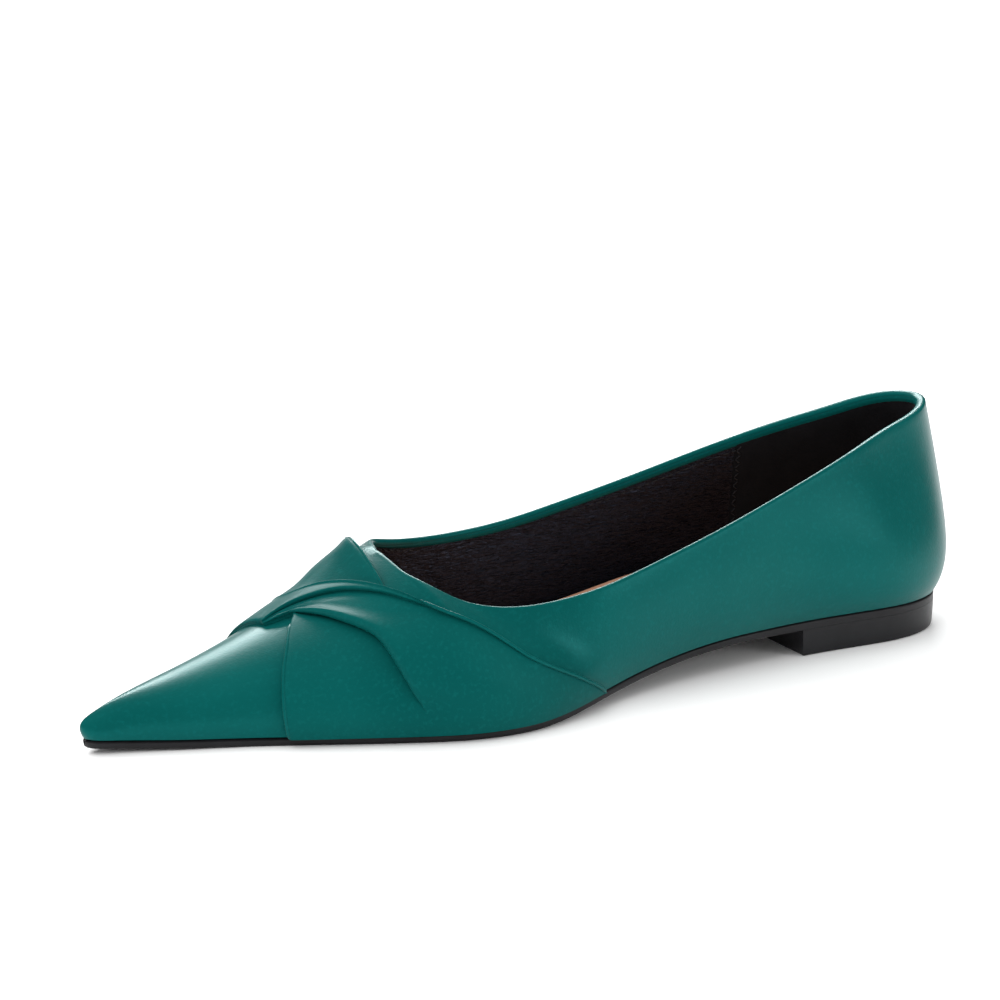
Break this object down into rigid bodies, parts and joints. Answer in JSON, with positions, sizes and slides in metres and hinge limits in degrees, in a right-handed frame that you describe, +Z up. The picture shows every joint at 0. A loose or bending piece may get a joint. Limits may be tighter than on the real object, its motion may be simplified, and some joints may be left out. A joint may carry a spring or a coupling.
{
  "type": "flat shoe",
  "caption": "Women's low pointed flat for the left foot, hollow leather upper with a twisted band across the vamp, thin sole and low heel.",
  "frame": {"origin": "middle of the bounding box seen from above, on the floor", "axes": "+X from the toe toward the heel, +Z up, +Y toward the medial (inner) side of the foot"},
  "size_m": [0.2588, 0.0794, 0.0598],
  "materials": {
    "outsole": "satin black",
    "heel": "satin black",
    "insole": "matt tan",
    "upper": "semi-gloss teal green",
    "band": "semi-gloss teal green"
  },
  "bodies": {
    "root": {"outsole": "outsole", "heel_block": "heel", "insole": "insole", "upper": "upper", "twist_band": "band"}
  },
  "joints": []
}
